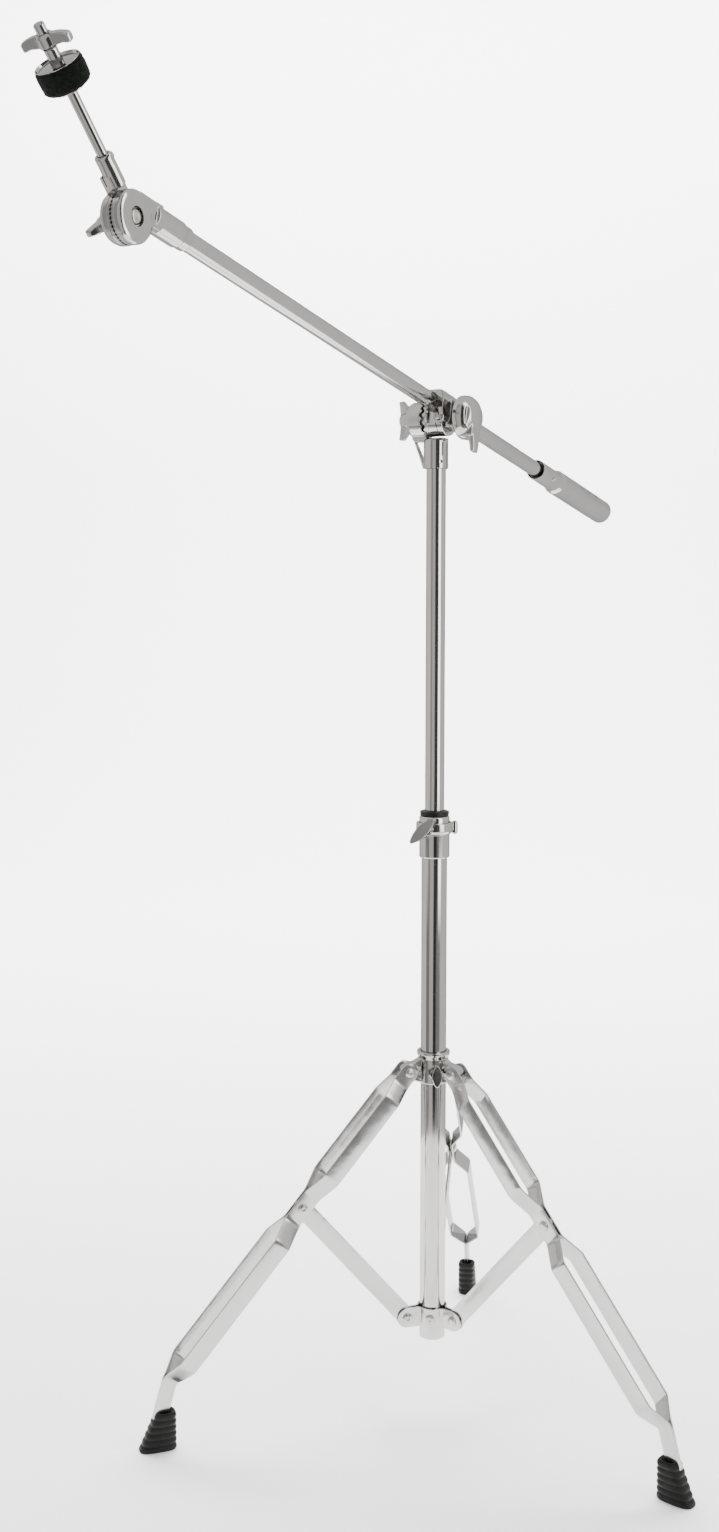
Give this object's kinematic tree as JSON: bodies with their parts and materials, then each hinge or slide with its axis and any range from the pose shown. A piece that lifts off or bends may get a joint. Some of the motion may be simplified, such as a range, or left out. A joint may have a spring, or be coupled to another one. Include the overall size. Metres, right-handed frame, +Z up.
{
  "type": "cymbal boom stand",
  "caption": "Chromed folding tripod with a telescoping mast, a tilting and sliding boom arm with a counterweight, and a tilting cymbal seat with felt and wing nut.",
  "frame": {"origin": "centre of the bounding box, on the floor the feet stand on", "axes": "+Z up; +Y away from the viewer of the picture, +X to the viewer's right; the mast is vertical"},
  "size_m": [0.5294, 0.8332, 1.2045],
  "materials": {
    "tube_chrome": "bright chrome plate on drawn tube and strip",
    "cast_chrome": "chrome plate on die castings, slightly softer than the tubes",
    "fastener_steel": "bright plated rivets, bolts and screws",
    "rubber": "matt black moulded rubber",
    "nylon": "black nylon",
    "felt": "dense greenish black wool felt"
  },
  "bodies": {
    "base": {"base_tube": "tube_chrome", "hub_plate_rear": "tube_chrome", "hub_tube_rivet_rear": "fastener_steel", "hub_rivet_rear": "fastener_steel", "hub_plate_left": "tube_chrome", "hub_tube_rivet_left": "fastener_steel", "hub_rivet_left": "fastener_steel", "hub_plate_right": "tube_chrome", "hub_tube_rivet_right": "fastener_steel", "hub_rivet_right": "fastener_steel", "height_clamp_socket": "cast_chrome", "height_clamp_band": "cast_chrome", "height_clamp_pin": "fastener_steel", "nylon_bush": "nylon"},
    "brace_rear": {"brace_rear": "tube_chrome"},
    "leg_rear": {"leg_strap_a_rear": "tube_chrome", "leg_strap_b_rear": "tube_chrome", "brace_rivet_rear": "fastener_steel", "rubber_foot_rear": "rubber"},
    "brace_left": {"brace_left": "tube_chrome"},
    "leg_left": {"leg_strap_a_left": "tube_chrome", "leg_strap_b_left": "tube_chrome", "brace_rivet_left": "fastener_steel", "rubber_foot_left": "rubber"},
    "brace_right": {"brace_right": "tube_chrome"},
    "leg_right": {"leg_strap_a_right": "tube_chrome", "leg_strap_b_right": "tube_chrome", "brace_rivet_right": "fastener_steel", "rubber_foot_right": "rubber"},
    "leg_collar": {"leg_collar": "cast_chrome", "collar_rivet_rear": "fastener_steel", "collar_rivet_left": "fastener_steel", "collar_rivet_right": "fastener_steel"},
    "collar_wing_bolt": {"collar_wing_bolt": "cast_chrome"},
    "height_wing_bolt": {"height_wing_bolt": "cast_chrome"},
    "mast": {"upper_tube": "tube_chrome"},
    "boom_holder": {"boom_holder": "cast_chrome"},
    "tilt_wing_nut": {"tilt_wing_nut": "cast_chrome"},
    "boom_clamp": {"boom_clamp_block": "cast_chrome", "hook_strap": "cast_chrome", "clamp_stud": "fastener_steel", "clamp_screw": "fastener_steel"},
    "clamp_wing_nut": {"clamp_wing_nut": "cast_chrome"},
    "boom": {"boom_tube": "tube_chrome"},
    "counterweight": {"counterweight": "cast_chrome", "counterweight_screw": "fastener_steel"},
    "tilter": {"tilter_boom_half": "cast_chrome", "tilter_bolt": "fastener_steel"},
    "tilter_wing_nut": {"tilter_wing_nut": "cast_chrome"},
    "tilter_arm": {"tilter_rod_half": "cast_chrome", "rod_screw": "fastener_steel", "cymbal_rod": "tube_chrome", "seat_washer": "tube_chrome"},
    "felt_pad": {"felt_pad": "felt"},
    "cup_washer": {"cup_washer": "tube_chrome"},
    "cymbal_wing_nut": {"cymbal_wing_nut": "cast_chrome"}
  },
  "joints": [
    {"name": "legs_fold", "type": "hinge", "parent": "base", "child": "brace_left", "pos_m": [-0.00524, 0.06048, 0.095], "axis": [-0.3681, 0.9298, 0], "range_deg": [-9, 34]},
    {"name": "leg_left_fold", "type": "hinge", "parent": "brace_left", "child": "leg_left", "pos_m": [-0.10704, 0.02018, 0.22229], "axis": [-0.3681, 0.9298, 0], "range_deg": [-69, 19]},
    {"name": "collar_level", "type": "hinge", "parent": "leg_left", "child": "leg_collar", "pos_m": [-0.00524, 0.06048, 0.34958], "axis": [-0.3681, 0.9298, 0], "range_deg": [-10, 35]},
    {"name": "brace_right_fold", "type": "hinge", "parent": "base", "child": "brace_right", "pos_m": [0.04274, 0.0534, 0.095], "axis": [-0.6211, -0.7837, 0], "range_deg": [-9, 34]},
    {"name": "leg_right_fold", "type": "hinge", "parent": "brace_right", "child": "leg_right", "pos_m": [0.12854, -0.01461, 0.22229], "axis": [-0.6211, -0.7837, 0], "range_deg": [-69, 19]},
    {"name": "brace_rear_fold", "type": "hinge", "parent": "base", "child": "brace_rear", "pos_m": [0.02488, 0.09849, 0.095], "axis": [0.9893, -0.1461, 0], "range_deg": [-9, 34]},
    {"name": "leg_rear_fold", "type": "hinge", "parent": "brace_rear", "child": "leg_rear", "pos_m": [0.04088, 0.2068, 0.22229], "axis": [0.9893, -0.1461, 0], "range_deg": [-69, 19]},
    {"name": "collar_bolt_turn", "type": "hinge", "parent": "leg_collar", "child": "collar_wing_bolt", "pos_m": [0.02079, 0.07079, 0.34958], "axis": [0.1219, -0.9925, 0], "range_deg": [0, 720]},
    {"name": "height_bolt_turn", "type": "hinge", "parent": "base", "child": "height_wing_bolt", "pos_m": [0.02079, 0.07079, 0.5925], "axis": [-0.3746, -0.9272, 0], "range_deg": [0, 720]},
    {"name": "mast_height", "type": "slide", "parent": "base", "child": "mast", "axis": [0, 0, 1], "range_m": [-0.32, 0.085]},
    {"name": "boom_swivel", "type": "hinge", "parent": "mast", "child": "boom_holder", "pos_m": [0.02079, 0.07079, 0.987], "axis": [0, 0, 1], "continuous": true},
    {"name": "tilt_nut_turn", "type": "hinge", "parent": "boom_holder", "child": "tilt_wing_nut", "pos_m": [0.02079, 0.07079, 0.987], "axis": [-0.8746, 0.4848, 0], "range_deg": [0, 720]},
    {"name": "boom_tilt", "type": "hinge", "parent": "boom_holder", "child": "boom_clamp", "pos_m": [0.02079, 0.07079, 0.987], "axis": [-0.8746, 0.4848, 0], "range_deg": [-70, 48]},
    {"name": "clamp_nut_turn", "type": "hinge", "parent": "boom_clamp", "child": "clamp_wing_nut", "pos_m": [0.02079, 0.07079, 0.987], "axis": [0.8746, -0.4848, 0], "range_deg": [0, 720]},
    {"name": "boom_slide", "type": "slide", "parent": "boom_clamp", "child": "boom", "axis": [-0.4733, -0.8539, 0.2164], "range_m": [-0.38, 0.195]},
    {"name": "counterweight_slide", "type": "slide", "parent": "boom", "child": "counterweight", "axis": [-0.4733, -0.8539, 0.2164], "range_m": [-0.1, 0]},
    {"name": "boom_roll", "type": "hinge", "parent": "boom", "child": "tilter", "pos_m": [0.02546, 0.07095, 0.99784], "axis": [-0.4733, -0.8539, 0.2164], "continuous": true},
    {"name": "tilter_tilt", "type": "hinge", "parent": "tilter", "child": "tilter_arm", "pos_m": [-0.2004, -0.33651, 1.09103], "axis": [-0.8746, 0.4848, 0], "range_deg": [-110, 54]},
    {"name": "tilter_nut_turn", "type": "hinge", "parent": "tilter", "child": "tilter_wing_nut", "pos_m": [-0.2004, -0.33651, 1.09103], "axis": [-0.8746, 0.4848, 0], "range_deg": [0, 720]},
    {"name": "cymbal_nut_lift", "type": "slide", "parent": "tilter_arm", "child": "cymbal_wing_nut", "axis": [-0.3244, -0.5852, 0.7431], "range_m": [0, 0.05]},
    {"name": "cup_lift", "type": "slide", "parent": "tilter_arm", "child": "cup_washer", "axis": [-0.3244, -0.5852, 0.7431], "range_m": [0, 0.03]},
    {"name": "felt_lift", "type": "slide", "parent": "tilter_arm", "child": "felt_pad", "axis": [-0.3244, -0.5852, 0.7431], "range_m": [0, 0.02]}
  ],
  "couplings": [
    {"joint": "leg_left_fold", "follows": "legs_fold", "ratio": -2},
    {"joint": "collar_level", "follows": "legs_fold", "ratio": 1},
    {"joint": "brace_right_fold", "follows": "legs_fold", "ratio": 1},
    {"joint": "leg_right_fold", "follows": "legs_fold", "ratio": -2},
    {"joint": "brace_rear_fold", "follows": "legs_fold", "ratio": 1},
    {"joint": "leg_rear_fold", "follows": "legs_fold", "ratio": -2},
    {"joint": "cup_lift", "follows": "cymbal_nut_lift", "ratio": 0.5},
    {"joint": "felt_lift", "follows": "cymbal_nut_lift", "ratio": 0.25}
  ]
}
